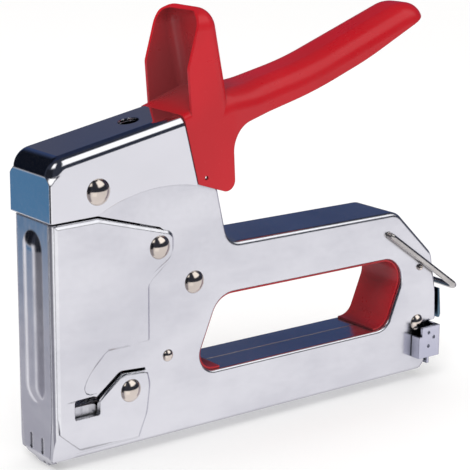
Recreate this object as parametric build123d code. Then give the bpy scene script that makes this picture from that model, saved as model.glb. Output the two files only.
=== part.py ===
from build123d import *
import os

# Hand staple gun, millimetres. +X runs from the nose to the rear, Y across, +Z up.
# Lengths are written as stations: X measured from the front edge of the side walls.
# ORIGIN_STATION moves the origin to the middle of the flat underside (Z = 0).

ORIGIN_STATION = 92.0

# Body, a folded steel shell
BODY_HALF = 13.0
SHEET = 1.4
BODY_INNER = BODY_HALF - 1.5
PANEL_RISE = 0.7
PANEL_SLOPE = 58.0
PANEL_HALF = BODY_HALF + PANEL_RISE
EDGE_ROUND = 2.0
NOSE_FACE = -2.0
REAR_FACE = 191.2
LATCH_STEP = 185.4
GRIP_TOP = 72.5
NOSE_PLATE_TOP = 91.0
NOSE_PLATE_HALF = 11.2
NOSE_TAPER = 3.0
RIB_ROUND = 14.0
RIB_RISE = 1.8
RIB_BOTTOM = 27.4
RIB_TOP = 79.6
HOLE_BOTTOM = 20.8
HOLE_TOP = 53.7
HOLE_RIM = 1.2

# Head cap
CAP_HALF = 14.6
CAP_SHEET = 1.2
CAP_FACE = -2.8
CAP_REAR = 54.4
CAP_SLOPE = 0.1917
CAP_TOP_AT_NOSE = 114.0
ADJUSTER_X = 40.0

# Handle lever
LEVER_HALF = 14.6
LEVER_SHEET = 1.35
HANDLE_HALF = 12.5
HANDLE_TIP = 183.3
HANDLE_ROUND = 8.0
HOOD_TOP = 163.5

# Hinge of the lever and its lift arm
PIVOT = (44.7, 75.9)
PIN_RADIUS = 2.5
PIN_CLEARANCE = 0.05
CHEEK_INNER = 8.6
CHEEK_OUTER = 10.2

# Striker
BLADE_FRONT = 3.6
BLADE_THICK = 1.2
BLADE_HALF = 6.3
BLADE_BOTTOM = 0.6
BLADE_TOP = 66.0
SPRING_X = 16.0
SPRING_RADIUS = 5.9
SPRING_WIRE = 1.1
PLUNGER_FLOOR = 51.0
PLUNGER_FLOOR_TOP = 55.0
SEAT_BOTTOM = 95.5

# Rivets: station, height, head radius, shank radius, side face, dome height
RIVETS = {
    "head_rivet": (17.3, 100.8, 5.0, 2.5, CAP_HALF, 2.5),
    "pivot_rivet": (PIVOT[0], PIVOT[1], 4.6, PIN_RADIUS, PANEL_HALF, 2.4),
    "frame_rivet": (61.1, 59.6, 4.5, 2.3, BODY_HALF, 2.3),
    "nose_rivet": (31.2, 22.2, 4.5, 1.9, PANEL_HALF, 2.3),
    "slit_rivet": (48.7, 32.5, 2.4, 1.4, BODY_HALF, 1.4),
    "rear_rivet": (179.3, 21.9, 3.5, 1.8, BODY_HALF, 1.8),
    "bail_stop": (179.7, 46.4, 1.2, 1.2, BODY_HALF, 1.6),
}
RIVET_HOLE_CLEARANCE = 0.05

# Wire bail that hooks the closed handle
BAIL_HINGE = (161.1, 63.3)
BAIL_END = (201.0, 34.5)
BAIL_WIRE = 1.3
BAIL_HALF = 14.65
BAIL_STUB = 10.6
BAIL_HOLE_CLEARANCE = 0.1

# Magazine
CHANNEL_HALF = 9.3
CHANNEL_SHEET = 1.2
CHANNEL_TOP = 16.0
MAGAZINE_FRONT = 5.4
MAGAZINE_REAR = 184.0
RAIL_HALF = 5.2
RAIL_TOP = 11.0
ROD_HEIGHT = 15.4
ROD_RADIUS = 1.25
PUSHER_FRONT = 8.0
PUSHER_LENGTH = 18.0
LATCH_FACE = 188.3
WING_FRONT = 176.5
WING_HALF = 18.0
WING_SHEET = 1.2

# Release button behind the rear face
BUTTON_FRONT = 192.6
BUTTON_THICK = 1.4


# ---------------------------------------------------------------- helpers

def outline(corners):
    """Flat closed outline from (along, up, corner radius) triples."""
    points = [(along, up) for along, up, _ in corners]
    radii = [radius for _, _, radius in corners]
    return make_face(FilletPolyline(*points, radius=radii, close=True))


def slab(flat, y_low, y_high):
    """An outline in the side plane, given thickness between two Y values."""
    return extrude(Plane.XZ.offset(-y_high) * flat, amount=y_high - y_low)


def across(flat, half):
    """An outline in the side plane, given thickness on both sides of the middle."""
    return slab(flat, -half, half)


def front_slab(flat, x_low, x_high):
    """An outline in the front plane (Y, Z), given thickness between two stations."""
    return extrude(Plane.YZ.offset(x_low) * flat, amount=x_high - x_low)


def block(x_low, x_high, y_low, y_high, z_low, z_high):
    """Plain box between two corners."""
    size = (x_high - x_low, y_high - y_low, z_high - z_low)
    centre = ((x_low + x_high) / 2, (y_low + y_high) / 2, (z_low + z_high) / 2)
    return Pos(*centre) * Box(*size)


def rod(x, z, radius, y_low, y_high):
    """Round bar along Y."""
    return Pos(x, (y_low + y_high) / 2, z) * Rot(90, 0, 0) * Cylinder(radius, y_high - y_low)


def both_sides(shape):
    """A piece of the near side together with its mirror image."""
    return shape + mirror(shape, about=Plane.XZ)


def edges_where(shape, test):
    """Edges whose middle point passes the test."""
    return [edge for edge in shape.edges() if test(edge @ 0.5, edge)]


def coil(radius, wire, height, pitch):
    """Round-wire helix that stands on Z = 0 about the Z axis."""
    path = Helix(pitch=pitch, height=height - 2 * wire, radius=radius)
    section = Plane(origin=path @ 0, z_dir=path % 0) * Circle(wire)
    return Pos(0, 0, wire) * sweep(section, path=path)


# ---------------------------------------------------------------- body

def body_outline():
    """Side view of the body; the top of the head part hides under cap and lever."""
    return outline([
        (NOSE_FACE, 0, 0.8),
        (182.5, 0, 2.5),
        (LATCH_STEP, 3.2, 2.0),
        (LATCH_STEP, 20.6, 1.0),
        (REAR_FACE, 20.8, 1.2),
        (190.6, 34, 14),
        (187.0, 51.8, 6),
        (166.0, GRIP_TOP, 8),
        (77.6, GRIP_TOP, 7),
        (71.7, 98.2, 3),
        (58.0, 101.2, 0),
        (24.0, 104.2, 0),
        (24.0, 106.5, 0),
        (0.8, 106.5, 0),
        (0.8, NOSE_PLATE_TOP, 0),
        (NOSE_FACE, NOSE_PLATE_TOP, 0),
    ])


def hole_outline(inset=0.0):
    """Finger hole of the grip, drawn at its rolled rim and shrunk by the inset."""
    rim = outline([
        (58.8, HOLE_BOTTOM, 8.5),
        (162.6, HOLE_BOTTOM, 9.0),
        (176.0, HOLE_TOP, 10.8),
        (72.3, HOLE_TOP, 12.0),
    ])
    return offset(rim, amount=-inset, kind=Kind.INTERSECTION) if inset else rim


def raised_panels():
    """Raised fields on the side: the front panel and the lower nose panel, joined."""
    front = outline([
        (-0.6, 23.6, 0),
        (5.6, 24.0, 0),
        (21.2, 39.4, 3),
        (40.3, 39.4, 1.5),
        (40.3, 64.2, 5),
        (51.4, 71.0, 6),
        (51.4, 80.9, 4),
        (17.9, 90.3, 1),
        (-0.6, 89.9, 0),
    ])
    lower = outline([
        (-0.6, 2.2, 0),
        (35.2, 2.2, 1.5),
        (39.2, 12.0, 10),
        (40.6, 23.0, 8),
        (39.2, 29.2, 2),
        (27.2, 29.9, 4),
        (16.8, 21.6, 0),
        (16.8, 24.0, 0),
        (-0.6, 24.0, 0),
    ])
    field = Plane.XZ.offset(BODY_HALF) * (front + lower)
    raised = extrude(field, amount=PANEL_RISE, taper=PANEL_SLOPE)
    return both_sides(raised + slab(front + lower, -BODY_HALF, -BODY_INNER - 0.5))


def nose_taper(half):
    """Everything outside the tapered lower front corners, for one wall surface."""
    slope_x = NOSE_TAPER / (12 - NOSE_FACE)
    slope_z = NOSE_TAPER / 15
    inward = Vector(slope_x, 1, slope_z)
    plane = Plane(origin=(NOSE_FACE, -half + NOSE_TAPER, 0), z_dir=-inward)
    wedge = extrude(plane * Rectangle(80, 80), amount=12)
    return both_sides(wedge)


def cut_openings(shell):
    """Window, slit, gap line, rivet holes and bail holes through both walls."""
    window = outline([(6.4, 15.5, 1.0), (17.5, 15.5, 1.0), (17.5, 23.2, 3.0), (6.4, 23.2, 1.2)])
    slit = outline([
        (16.2, 20.8, 0),
        (27.4, 29.4, 3),
        (38.2, 28.8, 0.4),
        (38.2, 29.9, 0.4),
        (26.8, 30.6, 3.5),
        (15.4, 21.9, 0),
    ])
    gap = outline([
        (-3, 90.3, 0),
        (17.6, 90.7, 0),
        (45.4, 82.7, 0),
        (47.2, 81.9, 0),
        (45.2, 83.5, 0),
        (17.9, 91.5, 0),
        (-3, 91.2, 0),
    ])
    for flat in (window, slit, gap):
        shell = shell - across(flat, PANEL_HALF + 1)
    for x, z, _, shank, _, _ in RIVETS.values():
        shell = shell - rod(x, z, shank + RIVET_HOLE_CLEARANCE, -20, 20)
    shell = shell - rod(*BAIL_HINGE, BAIL_WIRE + BAIL_HOLE_CLEARANCE, -20, 20)
    return shell


def make_body_shell():
    flat = body_outline()
    outer = across(flat, BODY_HALF)
    rim = edges_where(outer, lambda m, e: abs(abs(m.Y) - BODY_HALF) < 0.01 and m.Z < 96 and e.length > 0.9)
    outer = fillet(rim, EDGE_ROUND)
    outer = outer + raised_panels()
    outer = outer - across(hole_outline(HOLE_RIM), 30)
    hole_rim = edges_where(
        outer,
        lambda m, e: abs(abs(m.Y) - BODY_HALF) < 0.01 and 60 < m.X < 172 and 19 < m.Z < 56,
    )
    outer = fillet(hole_rim, HOLE_RIM)
    outer = outer - nose_taper(PANEL_HALF)

    inner = across(offset(flat, amount=-SHEET, kind=Kind.INTERSECTION), BODY_INNER)
    inner = inner + block(-0.7, 24, -BODY_INNER, BODY_INNER, 80, 110)
    inner = inner + across(outline([(20, 78, 0), (90, 78, 0), (90, 110, 0), (20, 110, 0)]), BODY_INNER)
    inner = inner - nose_taper(PANEL_HALF - 1.5)
    flange = across(offset(hole_outline(HOLE_RIM), amount=SHEET, kind=Kind.INTERSECTION), 30)
    shell = outer - (inner - flange)

    floor_slot = block(-5, 184, -CHANNEL_HALF - 0.1, CHANNEL_HALF + 0.1, -1, 3)
    rear_door = block(180, 187, -CHANNEL_HALF - 0.1, CHANNEL_HALF + 0.1, -1, 19.2)
    front_door = front_slab(nose_front_outline(0.1), -4, 0.5)
    button_slot = block(185, 193, -4.3, 4.3, 23.7, 28.3)
    seam = block(74, 156, -0.25, 0.25, HOLE_BOTTOM + HOLE_RIM - 0.5, HOLE_BOTTOM + HOLE_RIM + 1)
    for opening in (floor_slot, rear_door, front_door, button_slot, seam):
        shell = shell - opening
    return cut_openings(shell)


def nose_front_outline(margin=0.0):
    """Front view (Y, Z) of the nose plate with its tongue and two notches."""
    half = NOSE_PLATE_HALF + margin
    low_half = 9.2 + margin
    top = NOSE_PLATE_TOP + 2 * margin
    right = [
        (3.4, -4.2, 1.0), (4.4, -2.2, 0.6), (6.2, -2.2, 0.6),
        (low_half, -1.6, 0.8), (low_half, 0.5, 4), (half, 17, 8),
    ]
    if margin:
        right = [(low_half, -6, 0), (low_half, 0.5, 4), (half, 17, 8)]
    left = [(-y, z, r) for y, z, r in reversed(right)]
    return outline(right + [(half, top, 0), (-half, top, 0)] + left)


def make_nose_plate():
    side = outline([
        (NOSE_FACE - 0.05, NOSE_PLATE_TOP - 0.1, 0),
        (NOSE_FACE - 0.05, 1.0, 0),
        (1.1, -4.3, 0),
        (2.3, -3.6, 0),
        (-0.7, 1.4, 0),
        (-0.7, NOSE_PLATE_TOP - 0.1, 0),
    ])
    plate = across(side, 12) & front_slab(nose_front_outline(), -5, 5)
    axis_x = NOSE_FACE - RIB_RISE + RIB_ROUND
    length = RIB_TOP - RIB_BOTTOM
    rib = Pos(axis_x, 0, (RIB_TOP + RIB_BOTTOM) / 2) * Cylinder(RIB_ROUND, length)
    for z in (RIB_BOTTOM, RIB_TOP):
        rib = rib + Pos(axis_x, 0, z) * Sphere(RIB_ROUND)
    plate = plate + (rib & block(-8, NOSE_FACE + 0.5, -9, 9, 5, 90))
    for side_y in (-4, 4):
        slot = Pos(side_y, 4.6) * Rot(0, 0, 90) * SlotOverall(6.2, 1.6)
        plate = plate - front_slab(slot, -5, 1)
    return plate - Pos(0.5, -1.4, -3.0) * Rot(0, 90, 0) * Cylinder(0.6, 8)


def make_nose_wear_plate():
    """Hardened strip behind the nose plate; its two tabs are peened into the slots."""
    strip = block(-0.6, 0.6, -9.8, 9.8, 9.0, 88.0) + block(-0.6, 0.6, -6.4, 6.4, 3.0, 9.1)
    for side_y in (-4, 4):
        tab = Pos(side_y, 4.6) * Rot(0, 0, 90) * SlotOverall(5.8, 1.2)
        strip = strip + front_slab(tab, NOSE_FACE + 0.25, 0)
    return strip


# ---------------------------------------------------------------- head cap

def cap_top(x):
    """Height of the sloping cap top at a station."""
    return CAP_TOP_AT_NOSE + CAP_SLOPE * (x - CAP_FACE)


def corner_posts(flat):
    """Fills the lower front corners out to a tight fold; the top of each post fades away."""
    plan = Pos(CAP_FACE + 10, 0, 100) * Box(20, 2 * CAP_HALF, 60)
    fold = edges_where(plan, lambda m, e: m.X < CAP_FACE + 1 and e.length > 50)
    plan = fillet(fold, 1.0)
    post = Pos(CAP_FACE + 8.8, -CAP_HALF + 8.8, 90) * Cylinder(13.2, 20)
    post = post + Pos(CAP_FACE + 8.8, -CAP_HALF + 8.8, 100) * Sphere(13.2)
    return both_sides(across(flat, CAP_HALF) & plan & post)


def make_head_cap():
    flat = outline([
        (CAP_FACE, 91.5, 0),
        (16.9, 92.0, 0),
        (38.3, 102.8, 64),
        (61.5, 97.6, 0),
        (CAP_REAR, cap_top(CAP_REAR), 0),
        (CAP_FACE, CAP_TOP_AT_NOSE, 8),
    ])
    outer = across(flat, CAP_HALF)
    shoulder = edges_where(
        outer,
        lambda m, e: (
            abs(abs(m.Y) - CAP_HALF) < 0.01
            and (m.X < CAP_FACE + 4 or m.Z > 112)
            and m.X < 50
            and e.length > 6
        ),
    )
    outer = fillet(shoulder, 4.5) + corner_posts(flat)
    hollow = across(outline([
        (CAP_FACE + CAP_SHEET, 80, 0),
        (80, 80, 0),
        (80, cap_top(80) - CAP_SHEET, 0),
        (CAP_FACE + CAP_SHEET, CAP_TOP_AT_NOSE - CAP_SHEET, 6.8),
    ]), CAP_HALF - CAP_SHEET)
    inside = edges_where(
        hollow,
        lambda m, e: abs(abs(m.Y) - CAP_HALF + CAP_SHEET) < 0.01 and m.X < 79 and m.Z > 80.5,
    )
    hollow = fillet(inside, 3.3)
    cap = outer - hollow
    x, z, _, shank, _, _ = RIVETS["head_rivet"]
    cap = cap - rod(x, z, shank + RIVET_HOLE_CLEARANCE, -20, 20)
    return cap - Pos(ADJUSTER_X, 0, cap_top(ADJUSTER_X)) * Cylinder(4.0, 12)


def make_adjuster_bar():
    bar = block(ADJUSTER_X - 4, ADJUSTER_X + 4, -13.2, 13.2, 106.5, 110.5)
    return bar - Pos(ADJUSTER_X, 0, 108) * Cylinder(2.05, 10)


def make_adjuster_screw():
    head = Pos(ADJUSTER_X, 0, 118.1) * Cylinder(3.3, 2.6)
    head = fillet(edges_where(head, lambda m, e: m.Z > 119), 0.7)
    shank = Pos(ADJUSTER_X, 0, 111.5) * Cylinder(2.0, 11)
    slot = block(ADJUSTER_X - 5, ADJUSTER_X + 5, -0.45, 0.45, 118.3, 121)
    return head + shank - slot


def make_spring_seat():
    seat = block(8.6, 25.4, -11.3, 11.3, SEAT_BOTTOM, 105.6)
    seat = seat - block(11.0, 23.0, -8.0, 8.0, 98.0, 107)
    x, z, _, shank, _, _ = RIVETS["head_rivet"]
    return seat - rod(x, z, shank + RIVET_HOLE_CLEARANCE, -20, 20)


# ---------------------------------------------------------------- rivets

def make_rivet(x, z, head, shank, face, dome):
    """Through rivet with a domed head on each side."""
    ball = (head * head + dome * dome) / (2 * dome)
    rivet = rod(x, z, shank, -face, face)
    for side in (-1, 1):
        cap = Pos(x, side * (face + 0.05 + dome - ball), z) * Sphere(ball)
        dome_low, dome_high = sorted((side * (face + 0.05), side * (face + dome + 1)))
        neck_low, neck_high = sorted((side * (face - 1), side * (face + 0.3)))
        rivet = rivet + (cap & rod(x, z, head, dome_low, dome_high))
        rivet = rivet + rod(x, z, shank, neck_low, neck_high)
    return rivet


def make_pivot_spacers():
    x, z = PIVOT
    ring = rod(x, z, 5.5, -BODY_INNER + 0.05, -CHEEK_OUTER - 0.3)
    return both_sides(ring - rod(x, z, PIN_RADIUS + 0.05, -20, 20))


# ---------------------------------------------------------------- handle lever

def lever_plan(shrink):
    """Plan of the lever: full width at the head, slimmer along the handle, round tip."""
    half = LEVER_HALF - shrink
    slim = HANDLE_HALF - shrink
    tip_half = 11.4 - shrink
    tip = HANDLE_TIP - shrink
    low = [(45, -half, 0), (79, -half, 15), (97, -slim, 30), (tip, -tip_half, 10.4 - shrink)]
    high = [(x, -y, r) for x, y, r in reversed(low)]
    return Pos(0, 0, 70) * extrude(outline(low + high), amount=110)


def lever_crown(drop):
    """Side outline under the lever's upper line, from the hood floor to the handle tip."""
    return outline([
        (45.0, 90.0, 0),
        (45.0, 121.4 - drop, 0),
        (76.0, 131.8 - drop, 6),
        (90.0, 132.6 - drop, 50),
        (118.0, 139.0 - drop, 140),
        (170.5, 159.0 - drop, 16 - drop),
        (190.0, 156.8 - drop, 0),
        (190.0, 90.0, 0),
    ])


def crowned_solid(shrink):
    """Solid under the crown with its long upper edges rounded over, shrunk by the sheet."""
    solid = across(lever_crown(shrink), LEVER_HALF - shrink) & lever_plan(shrink)
    rim = edges_where(solid, lambda m, e: m.X > 80 and abs(m.Y) > 3 and m.Z > 131 - shrink and e.length > 4)
    return fillet(rim, HANDLE_ROUND - shrink)


def lever_side():
    """Side view of handle, lobes and floor; the top is left high for the crown to trim."""
    return outline([
        (55.0, 124.9, 0),
        (55.0, 175.0, 0),
        (190.0, 175.0, 0),
        (190.0, 157.5, 0),
        (174.0, 150.6, 12),
        (148.0, 138.2, 150),
        (120.0, 127.7, 200),
        (78.0, 117.2, 11),
        (79.4, 91.8, 4),
        (61.9, 97.8, 0.8),
    ])


def hood_side():
    """Side view of the thumb hood; its foot reaches down into the lever."""
    return outline([
        (59.4, 118.0, 0),
        (58.6, 125.4, 0),
        (57.3, 141.7, 5),
        (62.8, 161.2, 2.5),
        (65.8, HOOD_TOP, 1),
        (95.0, HOOD_TOP, 0),
        (95.0, 118.0, 0),
    ])


def hood_front(shrink):
    """Front view of the hood: upright sides and rounded top corners."""
    half = LEVER_HALF - shrink
    top = HOOD_TOP - shrink
    arch = outline([(-half, 100, 0), (half, 100, 0), (half, top, 8 - shrink), (-half, top, 8 - shrink)])
    return front_slab(arch, 40, 95)


def hood_prism(shrink):
    """Leaning block behind the hood's open front, its two rear corners rounded."""
    half = LEVER_HALF - shrink
    prism = across(outline([
        (45.0, 100.0, 0),
        (83.4 - shrink, 100.0, 0),
        (67.8 - shrink, 178.0, 0),
        (45.0, 178.0, 0),
    ]), half)
    prism = prism & hood_front(shrink)
    rear = edges_where(prism, lambda m, e: m.X > 66 and e.length > 2 and m.Z > 101 and abs(m.X - 45) > 1)
    return fillet(rear, 6.0 - shrink)


def front_brow():
    """Floor ahead of the hood, with a tight bend along each side."""
    brow = across(lever_crown(0) & lever_side(), LEVER_HALF) & block(50, 70, -20, 20, 100, 140)
    bend = edges_where(brow, lambda m, e: abs(abs(m.Y) - LEVER_HALF) < 0.01 and m.Z > 124 and e.length > 5)
    return fillet(bend, 2.2)


def make_handle_lever():
    outer = crowned_solid(0) & across(lever_side(), LEVER_HALF)
    hollow = crowned_solid(LEVER_SHEET)
    hood = hood_prism(0) & across(hood_side(), LEVER_HALF)
    brow = front_brow()
    floor_line = slab(outline([(40, 119.6, 0), (90, 136.6, 0), (90, 180, 0), (40, 180, 0)]), -20, 20)
    inside = hood_prism(LEVER_SHEET) & floor_line
    lever = outer + brow + hood - hollow - inside
    return lever - rod(65.6, 99.9, 0.8, -20, 20)


def make_lift_arm():
    flat = outline([
        (9.6, 62.0, 2.2),
        (9.6, 66.5, 2.2),
        (20.0, 66.6, 6),
        (38.0, 85.0, 6),
        (47.5, 97.0, 8),
        (56.0, 121.4, 2),
        (72.0, 126.8, 2),
        (73.5, 110.0, 10),
        (54.5, 71.5, 9),
        (44.0, 65.0, 8),
        (30.0, 61.5, 12),
    ])
    cheek = slab(flat, -CHEEK_OUTER, -CHEEK_INNER)
    arm = both_sides(cheek) + block(59, 69, -CHEEK_INNER - 0.5, CHEEK_INNER + 0.5, 112, 117)
    return arm - rod(*PIVOT, PIN_RADIUS + PIN_CLEARANCE, -20, 20)


def make_lever_bush():
    bush = rod(*PIVOT, 4.2, -CHEEK_INNER + 0.05, CHEEK_INNER - 0.05)
    return bush - rod(*PIVOT, PIN_RADIUS + PIN_CLEARANCE, -20, 20)


def make_handle_return_spring():
    turns = Pos(0, 0, -7.0) * coil(6.3, 0.7, 14.0, 2.6)
    return Pos(PIVOT[0], 0, PIVOT[1]) * Rot(90, 0, 0) * turns


# ---------------------------------------------------------------- striker

def make_driver_blade():
    blade = block(BLADE_FRONT, BLADE_FRONT + BLADE_THICK, -BLADE_HALF, BLADE_HALF, BLADE_BOTTOM, BLADE_TOP)
    return blade - Pos(BLADE_FRONT, 0, 60) * Rot(0, 90, 0) * Cylinder(1.6, 6)


def make_plunger():
    back = BLADE_FRONT + BLADE_THICK + 0.1
    wall = block(back, back + 1.6, -10.9, 10.9, PLUNGER_FLOOR, 71.0)
    floor = block(back, 25.0, -7.9, 7.9, PLUNGER_FLOOR, PLUNGER_FLOOR_TOP)
    shoulder = block(back, 15.0, -10.9, -8.1, 67.0, 71.0)
    return wall + floor + both_sides(shoulder)


def make_drive_spring():
    height = SEAT_BOTTOM - PLUNGER_FLOOR_TOP - 0.2
    return Pos(SPRING_X, 0, PLUNGER_FLOOR_TOP + 0.1) * coil(SPRING_RADIUS, SPRING_WIRE, height, 5.0)


def make_bumper():
    pad = block(6.0, 25.0, -9.8, 9.8, 44.6, PLUNGER_FLOOR - 0.5)
    return fillet(edges_where(pad, lambda m, e: m.Z > 50), 1.2)


def make_bumper_shelf():
    shelf = block(5.4, 27.0, -BODY_INNER + 0.1, BODY_INNER - 0.1, 42.0, 44.5)
    tab_profile = outline([(8, 36, 1), (22, 36, 1), (22, 43, 0), (8, 43, 0)])
    tab = slab(tab_profile, -BODY_INNER + 0.1, -BODY_INNER + 1.5)
    return shelf + both_sides(tab)


# ---------------------------------------------------------------- grip and bail

def make_grip_liner():
    outer = hole_outline(HOLE_RIM + 0.05)
    inner = hole_outline(HOLE_RIM + 0.9)
    ring = across(outer - inner, 11.4)
    return ring - block(74.5, 155.5, -15, 15, 15, 34)


def make_bail_wire():
    (x0, z0), (x1, z1) = BAIL_HINGE, BAIL_END
    path = FilletPolyline(
        (x0, -BAIL_STUB, z0),
        (x0, -BAIL_HALF, z0),
        (x1, -BAIL_HALF, z1),
        (x1, BAIL_HALF, z1),
        (x0, BAIL_HALF, z0),
        (x0, BAIL_STUB, z0),
        radius=[1.6, 4.0, 4.0, 1.6],
    )
    return sweep(Plane(origin=path @ 0, z_dir=path % 0) * Circle(BAIL_WIRE), path=path)


# ---------------------------------------------------------------- magazine

def make_magazine_channel():
    half = CHANNEL_HALF
    channel = block(MAGAZINE_FRONT, MAGAZINE_REAR, -half, half, 0, CHANNEL_TOP)
    inner = half - CHANNEL_SHEET
    return channel - block(0, 200, -inner, inner, CHANNEL_SHEET, CHANNEL_TOP + 1)


def make_staple_rail():
    rail = block(MAGAZINE_FRONT, 178, -RAIL_HALF, RAIL_HALF, 1.4, RAIL_TOP)
    return rail - block(0, 200, -RAIL_HALF + 0.9, RAIL_HALF - 0.9, 0, RAIL_TOP - 0.9)


def make_nose_guides():
    guide = slab(outline([
        (5.4, 2.0, 0.5),
        (22.0, 2.0, 0.5),
        (22.0, 15.0, 2.0),
        (16.5, 19.4, 2.0),
        (5.4, 19.4, 0.5),
    ]), -10.7, -CHANNEL_HALF - 0.1)
    return both_sides(guide)


def make_pusher():
    x0, x1 = PUSHER_FRONT, PUSHER_FRONT + PUSHER_LENGTH
    top = block(x0, x1, -7.6, 7.6, RAIL_TOP + 0.4, 18.6)
    skirt = block(x0, x1, -7.6, -RAIL_HALF - 0.5, 2.2, RAIL_TOP + 1)
    pusher = top + both_sides(skirt)
    bore = Pos((x0 + x1) / 2, 0, ROD_HEIGHT) * Rot(0, 90, 0) * Cylinder(ROD_RADIUS + 0.08, 40)
    return pusher - bore


def make_pusher_rod():
    low, high = PUSHER_FRONT - 1.0, LATCH_FACE - WING_SHEET - 0.2
    return Pos((low + high) / 2, 0, ROD_HEIGHT) * Rot(0, 90, 0) * Cylinder(ROD_RADIUS, high - low)


def make_pusher_spring():
    """Outer envelope of the close-wound spring on the rod."""
    low = PUSHER_FRONT + PUSHER_LENGTH + 0.1
    high = LATCH_FACE - WING_SHEET - 0.3
    tube = Cylinder(2.8, high - low) - Cylinder(1.6, high - low + 2)
    return Pos((low + high) / 2, 0, ROD_HEIGHT) * Rot(0, 90, 0) * tube


def make_loader_latch():
    """Rear closing plate with a folded finger wing on each side."""
    plate = block(LATCH_FACE - WING_SHEET, LATCH_FACE, -WING_HALF + 1, WING_HALF - 1, 6.9, 20.6)
    plate = plate + block(LATCH_FACE - WING_SHEET, LATCH_FACE, -12, 12, 1.5, 20.6)
    wing = slab(outline([
        (WING_FRONT, 7.0, 0.6),
        (LATCH_FACE, 6.9, 0),
        (LATCH_FACE, 20.6, 0),
        (WING_FRONT + 1.7, 20.6, 0.5),
        (WING_FRONT + 1.7, 16.6, 0),
        (WING_FRONT, 16.6, 0.5),
    ]), -WING_HALF, -WING_HALF + WING_SHEET)
    flange = block(WING_FRONT, WING_FRONT + WING_SHEET, -WING_HALF + 0.3, -BODY_HALF - 0.3, 7.0, 16.6)
    wing = wing + flange
    for x, z in ((WING_FRONT + 5.5, 18.0), (WING_FRONT + 8.5, 15.6), (WING_FRONT + 5.5, 12.0)):
        wing = wing - Pos(x, -WING_HALF, z) * Sphere(0.75)
    return plate + both_sides(wing)


def make_release_button():
    plate = slab(outline([
        (BUTTON_FRONT, 21.4, 0.3),
        (BUTTON_FRONT + BUTTON_THICK - 0.4, 21.6, 0.5),
        (BUTTON_FRONT + BUTTON_THICK, 23.2, 0.5),
        (BUTTON_FRONT + 0.4, 34.8, 0.3),
        (BUTTON_FRONT - 0.4, 34.8, 0.2),
    ]), -12.2, 12.2)
    return plate + block(183.0, BUTTON_FRONT + 0.3, -4.0, 4.0, 24.0, 28.0)


# ---------------------------------------------------------------- export

def parts():
    """Every piece of the tool by node name, at stations."""
    pieces = {
        "body_shell": make_body_shell(),
        "nose_plate": make_nose_plate(),
        "nose_wear_plate": make_nose_wear_plate(),
        "head_cap": make_head_cap(),
        "adjuster_bar": make_adjuster_bar(),
        "adjuster_screw": make_adjuster_screw(),
        "spring_seat": make_spring_seat(),
        "pivot_spacers": make_pivot_spacers(),
        "handle_lever": make_handle_lever(),
        "lift_arm": make_lift_arm(),
        "lever_bush": make_lever_bush(),
        "handle_return_spring": make_handle_return_spring(),
        "driver_blade": make_driver_blade(),
        "plunger": make_plunger(),
        "drive_spring": make_drive_spring(),
        "bumper": make_bumper(),
        "bumper_shelf": make_bumper_shelf(),
        "grip_liner": make_grip_liner(),
        "bail_wire": make_bail_wire(),
        "magazine_channel": make_magazine_channel(),
        "staple_rail": make_staple_rail(),
        "nose_guides": make_nose_guides(),
        "pusher": make_pusher(),
        "pusher_rod": make_pusher_rod(),
        "pusher_spring": make_pusher_spring(),
        "loader_latch": make_loader_latch(),
        "release_button": make_release_button(),
    }
    for name, size in RIVETS.items():
        pieces[name] = make_rivet(*size)
    return pieces


os.makedirs("parts", exist_ok=True)
for node, shape in parts().items():
    export_step(Pos(-ORIGIN_STATION, 0, 0) * shape, f"parts/{node}.step")
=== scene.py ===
import math

import bmesh
import bpy
from mathutils import Matrix, Vector


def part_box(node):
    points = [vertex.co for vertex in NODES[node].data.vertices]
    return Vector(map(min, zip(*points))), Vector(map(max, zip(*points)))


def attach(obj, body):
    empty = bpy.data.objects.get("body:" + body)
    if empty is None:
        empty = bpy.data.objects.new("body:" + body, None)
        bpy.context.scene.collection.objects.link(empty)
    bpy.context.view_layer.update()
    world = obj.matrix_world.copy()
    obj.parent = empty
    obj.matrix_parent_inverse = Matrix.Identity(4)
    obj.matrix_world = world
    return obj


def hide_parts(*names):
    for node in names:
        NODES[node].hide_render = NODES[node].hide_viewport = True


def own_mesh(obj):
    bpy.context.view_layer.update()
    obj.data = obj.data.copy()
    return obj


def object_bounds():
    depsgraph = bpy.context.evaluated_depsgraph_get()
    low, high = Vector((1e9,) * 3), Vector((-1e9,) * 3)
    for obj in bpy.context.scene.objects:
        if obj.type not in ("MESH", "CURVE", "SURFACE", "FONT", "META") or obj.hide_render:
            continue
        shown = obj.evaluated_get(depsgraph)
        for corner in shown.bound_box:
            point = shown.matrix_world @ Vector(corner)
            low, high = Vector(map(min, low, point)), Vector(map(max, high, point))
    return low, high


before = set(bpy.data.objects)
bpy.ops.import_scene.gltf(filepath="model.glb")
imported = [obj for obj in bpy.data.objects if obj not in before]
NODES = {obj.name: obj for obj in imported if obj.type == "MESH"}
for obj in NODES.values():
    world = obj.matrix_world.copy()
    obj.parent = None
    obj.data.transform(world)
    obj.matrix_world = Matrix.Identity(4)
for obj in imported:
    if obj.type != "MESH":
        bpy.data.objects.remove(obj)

CAD_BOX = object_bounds()

# ---------------------------------------------------------------- sizes, in metres where no unit is named

# how far off other parts cast the painted shade on plated steel
SHADE_REACH = 0.012
CHROME_RELIEF = 0.0003
FINE_RELIEF = 0.0002

PUSHER_WIRE_RADIUS = 0.00045
PUSHER_COIL_GAP = 0.0001
PUSHER_TURNS = 62
DRIVE_WIRE_RADIUS = 0.00105
DRIVE_TURNS = 5
STEPS_PER_TURN = 8

FLOOR_SIZE = 9.0
FLOOR_GAP = 0.0002
FLOOR_GLOW = 0.32
DAYLIGHT = 0.92

KEY_PLACE = (-0.9, -0.9, 1.5)
KEY_TARGET = (0, 0, 0.05)
KEY_SIZE = 0.9
KEY_WATTS = 11.0

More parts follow.
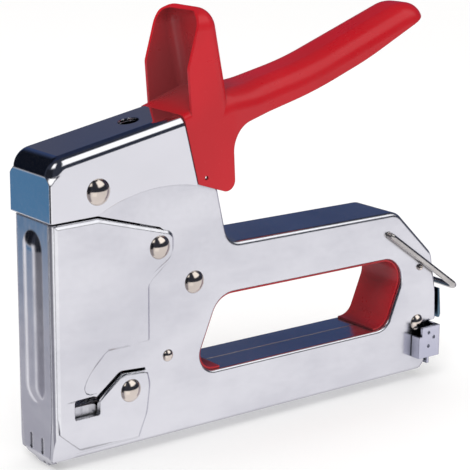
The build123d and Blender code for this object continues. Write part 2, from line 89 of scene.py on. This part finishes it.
LENS_MM = 124.53
SENSOR_MM = 36.0
NEAR_CLIP = 0.01
CAMERA_PLACE = (-0.38170, -0.49692, 0.23065)
CAMERA_RIGHT = (0.79557, -0.60579, 0.00827)
CAMERA_FORWARD = (0.58864, 0.76967, -0.24716)

# ---------------------------------------------------------------- node helpers


def srgb(red, green, blue):
    """Linear colour from 0-255 display values."""
    def one(value):
        value /= 255.0
        return value / 12.92 if value <= 0.04045 else ((value + 0.055) / 1.055) ** 2.4
    return (one(red), one(green), one(blue), 1.0)


class Tree:
    """Short way to add and link nodes in one node tree."""

    def __init__(self, tree):
        self.tree = tree
        tree.nodes.clear()

    def add(self, kind, inputs=None, **settings):
        node = self.tree.nodes.new("ShaderNode" + kind)
        for name, value in settings.items():
            setattr(node, name, value)
        for name, value in (inputs or {}).items():
            self.put(node, name, value)
        return node

    def put(self, node, name, value):
        if isinstance(value, bpy.types.NodeSocket):
            self.tree.links.new(value, node.inputs[name])
        else:
            node.inputs[name].default_value = value

    def math(self, operation, a, b=0.0):
        return self.add("Math", {0: a, 1: b}, operation=operation).outputs[0]

    def ramp(self, value, low, high, to_low=0.0, to_high=1.0):
        """Smooth step of value from low..high to to_low..to_high."""
        node = self.add("MapRange", {"Value": value, "From Min": low, "From Max": high,
                                     "To Min": to_low, "To Max": to_high}, interpolation_type="SMOOTHSTEP")
        return node.outputs["Result"]

    def mix(self, factor, a, b):
        """Colour a at factor 0, colour b at factor 1."""
        node = self.add("Mix", {"Factor": factor}, data_type="RGBA")
        self.put(node, 6, a)
        self.put(node, 7, b)
        return node.outputs[2]

    def noise(self, vector, scale=1.0, detail=2.0, rough=0.5):
        node = self.add("TexNoise", {"Vector": vector, "Scale": scale, "Detail": detail, "Roughness": rough})
        return node.outputs["Fac"]

    def stretched(self, vector, sx, sy, sz):
        return self.add("Mapping", {"Vector": vector, "Scale": (sx, sy, sz)}).outputs["Vector"]

    def bump(self, height, strength, distance, normal=None):
        node = self.add("Bump", {"Height": height, "Strength": strength, "Distance": distance})
        if normal is not None:
            self.put(node, "Normal", normal)
        return node.outputs["Normal"]

    def openness(self, reach, closed, clear):
        """1 on open surfaces, towards 0 where others stand closer than reach."""
        sky = self.add("AmbientOcclusion", {"Distance": reach}, samples=8).outputs["AO"]
        return self.ramp(sky, closed, clear)

    def soft_edges(self, radius):
        """Normal that rounds sharp edges by radius."""
        return self.add("Bevel", {"Radius": radius}, samples=6).outputs["Normal"]

    def surface(self, **sockets):
        """Principled shader as the surface; a socket's name is written with _ for its spaces."""
        shader = self.add("BsdfPrincipled")
        for name, value in sockets.items():
            self.put(shader, name.replace("_", " "), value)
        out = self.add("OutputMaterial")
        self.tree.links.new(shader.outputs[0], out.inputs["Surface"])


def new_material(name):
    """New material, its empty tree, and the object coordinates that its texture lies in."""
    material = bpy.data.materials.new(name)
    material.use_nodes = True
    tree = Tree(material.node_tree)
    return material, tree, tree.add("TexCoord").outputs["Object"]


# ---------------------------------------------------------------- materials


# grey tint of the painted shade on plated steel where other parts stand close
PLATE_SHADE = srgb(126, 126, 134)


def chrome(name, bright, dull, smooth, rough, grain=(60, 60, 60), wave=0.0006, edge=0.0006,
           shade_tint=PLATE_SHADE):
    """Bright plated steel: cloudy wipe marks, fine scratches, slow waviness, and painted shade (a grey tint)
    where other parts stand close.
    """
    material, t, place = new_material(name)
    smear = t.noise(t.stretched(place, 14, 14, 30), detail=4.0, rough=0.6)
    fine = t.noise(t.stretched(place, *grain), scale=9.0, detail=3.0, rough=0.55)
    scratches = t.ramp(t.noise(t.stretched(place, 40, 40, 1500)), 0.62, 0.72)
    slow = t.noise(t.stretched(place, 22, 22, 22), detail=1.0)
    colour = t.mix(t.ramp(smear, 0.35, 0.7), bright, dull)
    # painted shade: the colour darkens towards the shade tint where other parts stand within reach
    colour = t.mix(t.openness(SHADE_REACH, closed=0.1, clear=0.8), shade_tint, colour)
    worn = t.math("MULTIPLY", scratches, 0.02)
    roughness = t.math("ADD", t.ramp(fine, 0.3, 0.75, smooth, rough), worn)
    wavy = t.bump(slow, 0.35, wave, t.soft_edges(edge))
    normal = t.bump(fine, 0.015, CHROME_RELIEF, wavy)
    t.surface(Base_Color=colour, Metallic=1.0, Roughness=roughness, Normal=normal)
    return material


def lacquer(name, bright, deep, hollow_shade, reach):
    """Red baked lacquer: colour drift, pale dust, orange peel, rubbed patches, and painted shade, a duller
    darker tone, in recesses.
    """
    material, t, place = new_material(name)
    drift = t.noise(t.stretched(place, 18, 18, 18), detail=3.0)
    dust = t.ramp(t.noise(place, scale=900.0), 0.66, 0.78)
    rub = t.noise(t.stretched(place, 30, 60, 60), detail=4.0, rough=0.65)
    peel = t.noise(place, scale=420.0, detail=1.5)
    colour = t.mix(t.ramp(drift, 0.3, 0.75), bright, deep)
    colour = t.mix(t.math("MULTIPLY", dust, 0.08), colour, srgb(225, 120, 120))
    # painted shade: darker towards the given shade colour where other surfaces stand within reach
    colour = t.mix(t.openness(reach, closed=0.3, clear=1.0), hollow_shade, colour)
    roughness = t.ramp(rub, 0.3, 0.8, 0.26, 0.44)
    normal = t.bump(peel, 0.10, FINE_RELIEF, t.soft_edges(0.0005))
    t.surface(Base_Color=colour, Roughness=roughness, Normal=normal, Coat_Weight=0.08,
              Coat_Roughness=0.12, Specular_IOR_Level=0.4)
    return material


def plain_steel(name, light, dark, rough=0.32):
    """Oiled or zinc-plated inner steel with drawn grain and darker oil blotches."""
    material, t, place = new_material(name)
    blotch = t.noise(t.stretched(place, 60, 60, 60), detail=4.0, rough=0.6)
    grain = t.noise(t.stretched(place, 900, 900, 60))
    colour = t.mix(t.ramp(blotch, 0.3, 0.7), light, dark)
    roughness = t.ramp(grain, 0.25, 0.8, rough - 0.1, rough + 0.15)
    normal = t.bump(grain, 0.12, FINE_RELIEF, t.soft_edges(0.0003))
    t.surface(Base_Color=colour, Metallic=1.0, Roughness=roughness, Normal=normal)
    return material


def rubber(name):
    """Black rubber with a fine mottled skin."""
    material, t, place = new_material(name)
    speck = t.noise(place, scale=700.0, detail=3.0)
    colour = t.mix(t.ramp(speck, 0.3, 0.8), srgb(26, 26, 27), srgb(48, 47, 46))
    roughness = t.ramp(speck, 0.2, 0.8, 0.65, 0.85)
    t.surface(Base_Color=colour, Roughness=roughness, Normal=t.bump(speck, 0.3, FINE_RELIEF))
    return material


MATERIALS = {
    "body_chrome": chrome("body_chrome", srgb(242, 242, 245), srgb(224, 224, 229), 0.19, 0.25, edge=0.0004),
    "cap_chrome": chrome("cap_chrome", srgb(241, 241, 244), srgb(236, 236, 239), 0.05, 0.11),
    "nose_chrome": chrome("nose_chrome", srgb(226, 226, 231), srgb(205, 205, 213), 0.13, 0.22,
                          grain=(60, 60, 20), edge=0.0012),
    "rivet_chrome": chrome("rivet_chrome", srgb(236, 224, 212), srgb(214, 203, 192), 0.08, 0.14, wave=0.0),
    # the latch's dark blue-grey tint is painted shade where it stands close to other parts
    "latch_chrome": chrome("latch_chrome", srgb(224, 223, 236), srgb(204, 205, 220), 0.14, 0.22,
                           wave=0.0001, shade_tint=srgb(46, 64, 76)),
    "bail_satin": plain_steel("bail_satin", srgb(224, 220, 214), srgb(190, 186, 182), 0.22),
    # painted shade: the dull colours given here darken the inside of the thumb hood and of the grip liner
    "lever_red": lacquer("lever_red", srgb(196, 14, 30), srgb(176, 10, 24),
                         hollow_shade=srgb(150, 62, 66), reach=0.030),
    "liner_red": lacquer("liner_red", srgb(206, 12, 28), srgb(180, 10, 22),
                         hollow_shade=srgb(84, 46, 52), reach=0.040),
    "inner_steel": plain_steel("inner_steel", srgb(170, 170, 175), srgb(110, 110, 116)),
    "guide_steel": plain_steel("guide_steel", srgb(246, 246, 248), srgb(214, 214, 220), 0.42),
    "magazine_steel": plain_steel("magazine_steel", srgb(244, 244, 246), srgb(222, 222, 226), 0.26),
    "spring_steel": plain_steel("spring_steel", srgb(140, 140, 146), srgb(90, 90, 96), 0.3),
    "button_steel": plain_steel("button_steel", srgb(112, 140, 158), srgb(64, 88, 104), 0.3),
    "buffer_rubber": rubber("buffer_rubber"),
}

NODE_MATERIALS = {
    "body_chrome": ["body_shell"],
    "cap_chrome": ["head_cap"],
    "nose_chrome": ["nose_plate"],
    "rivet_chrome": ["head_rivet", "pivot_rivet", "frame_rivet", "nose_rivet", "slit_rivet", "rear_rivet",
                     "bail_stop"],
    "latch_chrome": ["loader_latch"],
    "bail_satin": ["bail_wire"],
    "lever_red": ["handle_lever"],
    "liner_red": ["grip_liner"],
    "inner_steel": ["nose_wear_plate", "adjuster_bar", "spring_seat", "pivot_spacers", "lift_arm",
                    "lever_bush", "driver_blade", "plunger", "bumper_shelf"],
    "guide_steel": ["nose_guides", "adjuster_screw"],
    "magazine_steel": ["magazine_channel", "staple_rail", "pusher", "pusher_rod"],
    "spring_steel": ["drive_spring", "handle_return_spring", "pusher_spring"],
    "button_steel": ["release_button"],
    "buffer_rubber": ["bumper"],
}

for key, names in NODE_MATERIALS.items():
    for name in names:
        mesh = NODES[name].data
        mesh.materials.clear()
        mesh.materials.append(MATERIALS[key])


# ---------------------------------------------------------------- springs


def coil_mesh(name, wire, radius, start, end, turns):
    """Round-wire coil along the line from start to end, as a mesh swept by a bevelled smooth curve."""
    curve = bpy.data.curves.new(name, "CURVE")
    curve.dimensions = "3D"
    curve.bevel_depth = wire
    curve.bevel_resolution = 3
    curve.resolution_u = 2
    curve.use_fill_caps = True
    axis = Vector(end) - Vector(start)
    turn = axis.to_track_quat("Z", "Y").to_matrix()
    steps = turns * STEPS_PER_TURN
    spline = curve.splines.new("NURBS")
    spline.points.add(steps)
    for i in range(steps + 1):
        angle = 2 * math.pi * i / STEPS_PER_TURN
        around = turn @ Vector((radius * math.cos(angle), radius * math.sin(angle), 0))
        spline.points[i].co = (*(Vector(start) + axis * i / steps + around), 1.0)
    spline.order_u = 4
    spline.use_endpoint_u = True
    path = bpy.data.objects.new(name + "_path", curve)
    mesh = bpy.data.meshes.new_from_object(path)
    bpy.data.objects.remove(path)
    mesh.name = name
    for face in mesh.polygons:
        face.use_smooth = True
    coil = bpy.data.objects.new(name, mesh)
    bpy.context.scene.collection.objects.link(coil)
    mesh.materials.clear()
    mesh.materials.append(MATERIALS["spring_steel"])
    return coil


def add_pusher_coil():
    """Close coil on the pusher rod, built at the length of the pusher_spring part it replaces; the real
    spring shortens towards the latch as the pusher moves back.
    """
    low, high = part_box("pusher_spring")
    wire = PUSHER_WIRE_RADIUS
    radius = (high.z - low.z) / 2 - wire - PUSHER_COIL_GAP
    height = (low.z + high.z) / 2
    start, end = (low.x + wire, 0, height), (high.x - wire, 0, height)
    coil = coil_mesh("pusher_coil", wire, radius, start, end, PUSHER_TURNS)
    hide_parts("pusher_spring")
    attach(coil, "loader")
    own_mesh(coil)


def add_drive_coil():
    """Heavy coil over the plunger, built at the length of the drive_spring part it replaces; the real spring
    shortens towards its seat as the plunger rises.
    """
    low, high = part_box("drive_spring")
    wire = DRIVE_WIRE_RADIUS
    radius = (high.y - low.y) / 2 - wire
    middle = (low.x + high.x) / 2
    start, end = (middle, 0, low.z + wire), (middle, 0, high.z - wire)
    coil = coil_mesh("drive_coil", wire, radius, start, end, DRIVE_TURNS)
    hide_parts("drive_spring")
    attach(coil, "frame")
    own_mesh(coil)


add_pusher_coil()
add_drive_coil()


# ---------------------------------------------------------------- stage


def add_floor():
    """Pale paper floor with a faint glow, which keeps it nearly white away from the shadow."""
    floor = bpy.data.meshes.new("floor")
    mesh = bmesh.new()
    bmesh.ops.create_grid(mesh, x_segments=8, y_segments=8, size=FLOOR_SIZE)
    mesh.to_mesh(floor)
    mesh.free()
    plane = bpy.data.objects.new("floor", floor)
    plane.location.z = CAD_BOX[0][2] - FLOOR_GAP
    bpy.context.scene.collection.objects.link(plane)
    material, t, place = new_material("floor_paper")
    tone = t.mix(t.noise(place, scale=3.0), (0.70, 0.70, 0.70, 1), (0.72, 0.72, 0.72, 1))
    t.surface(Base_Color=tone, Roughness=0.9, Specular_IOR_Level=0.1, Emission_Color=(1, 1, 1, 1),
              Emission_Strength=FLOOR_GLOW)
    floor.materials.append(material)
    plane.visible_glossy = False


# Each panel of the surroundings: its colour, its azimuth (centre, half width that is full, half width
# where it ends) and its elevation (low, high, softness), in degrees. A later panel covers an earlier one.
HANGINGS_AT = ((60, 45, 80), (-2, 32, 4))
PANELS = [
    # far side, over the hangings: dark blue overhead, near black towards the front left
    (srgb(34, 42, 66), (85, 40, 75), (34, 95, 6)),
    (srgb(14, 18, 28), (112, 18, 34), (-8, 60, 3)),
    # front left: pale floor with a steel blue panel on it, and a dark screen beside it on a grey floor
    (srgb(186, 185, 193), (123, 15, 21), (-70, -14, 2)),
    (srgb(80, 121, 158), (123, 14, 20), (-15.5, -9, 2)),
    (srgb(28, 31, 40), (-174, 30, 40), (-17, 30, 3)),
    (srgb(150, 149, 160), (-174, 30, 40), (-70, -17, 3)),
    # near side: white floor glare, a grey screen on the right, and two soft boxes
    ((1.0, 1.0, 1.02, 1), (-111, 10, 20), (-32, -5, 3)),
    (srgb(150, 146, 165), (8, 14, 26), (-40, -4, 4)),
    ((1.2, 1.2, 1.22, 1), (-50, 24, 38), (25, 64, 4)),
    ((1.2, 1.2, 1.2, 1), (-150, 12, 26), (38, 62, 6)),
]


def surroundings(t):
    """Colour of the surroundings in each direction: pale below, dark above, and the panels."""
    direction = t.add("TexCoord").outputs["Generated"]
    look = t.add("SeparateXYZ", {0: direction}).outputs
    azimuth = t.math("DEGREES", t.math("ARCTAN2", look["Y"], look["X"]))
    elevation = t.math("DEGREES", t.math("ARCSINE", look["Z"]))

    def across(centre, inner, outer):
        """1 up to inner degrees of azimuth from centre, falling to 0 at outer."""
        turn = t.math("SUBTRACT", azimuth, centre)
        turn = t.add("Math", {0: turn, 1: 180.0, 2: -180.0}, operation="WRAP").outputs[0]
        return t.ramp(t.math("ABSOLUTE", turn), outer, inner)

    def between(low, high, soft):
        """1 from low to high degrees of elevation, with soft edges."""
        above = t.ramp(elevation, low - soft, low + soft)
        below = t.ramp(elevation, high + soft, high - soft)
        return t.math("MULTIPLY", above, below)

    def panel(under, colour, sideways, upright):
        """The colour under, covered by colour inside the panel."""
        return t.mix(t.math("MULTIPLY", across(*sideways), between(*upright)), under, colour)

    colour = t.mix(t.ramp(elevation, -5.0, -1.0), srgb(236, 235, 240), srgb(48, 52, 64))
    folds = t.ramp(t.noise(direction, scale=5.0, detail=1.0), 0.35, 0.65)
    hangings = t.mix(folds, srgb(80, 82, 98), srgb(50, 66, 104))
    colour = panel(colour, hangings, *HANGINGS_AT)
    for paint, sideways, upright in PANELS:
        colour = panel(colour, paint, sideways, upright)
    return colour


def add_world():
    """Studio surroundings: what polished steel mirrors, and an even soft light for everything else."""
    world = bpy.data.worlds.new("studio")
    world.use_nodes = True
    t = Tree(world.node_tree)
    mirrored = t.add("Background", {"Color": surroundings(t), "Strength": 1.0}).outputs[0]
    even = t.add("Background", {"Color": (1.0, 0.99, 0.98, 1), "Strength": DAYLIGHT}).outputs[0]
    both = t.add("MixShader", {0: t.add("LightPath").outputs["Is Glossy Ray"]})
    t.put(both, 1, even)
    t.put(both, 2, mirrored)
    out = t.add("OutputWorld")
    t.tree.links.new(both.outputs[0], out.inputs["Surface"])
    bpy.context.scene.world = world


def add_key_light():
    """Large soft disc, up on the near side, which polished steel doesn't mirror."""
    light = bpy.data.lights.new("key", "AREA")
    light.shape = "DISK"
    light.size = KEY_SIZE
    light.energy = KEY_WATTS
    lamp = bpy.data.objects.new("key", light)
    lamp.location = KEY_PLACE
    lamp.rotation_euler = (Vector(KEY_TARGET) - Vector(KEY_PLACE)).to_track_quat("-Z", "Y").to_euler()
    lamp.visible_glossy = False
    bpy.context.scene.collection.objects.link(lamp)


def add_camera():
    camera = bpy.data.cameras.new("camera")
    camera.sensor_width = SENSOR_MM
    camera.lens = LENS_MM
    camera.clip_start = NEAR_CLIP
    eye = bpy.data.objects.new("camera", camera)
    right = Vector(CAMERA_RIGHT).normalized()
    forward = Vector(CAMERA_FORWARD).normalized()
    up = right.cross(forward)
    turn = Matrix((right, up, -forward)).transposed().to_4x4()
    eye.matrix_world = Matrix.Translation(CAMERA_PLACE) @ turn
    bpy.context.scene.collection.objects.link(eye)
    bpy.context.scene.camera = eye


add_floor()
add_world()
add_key_light()
add_camera()
bpy.context.scene.view_settings.view_transform = "Standard"
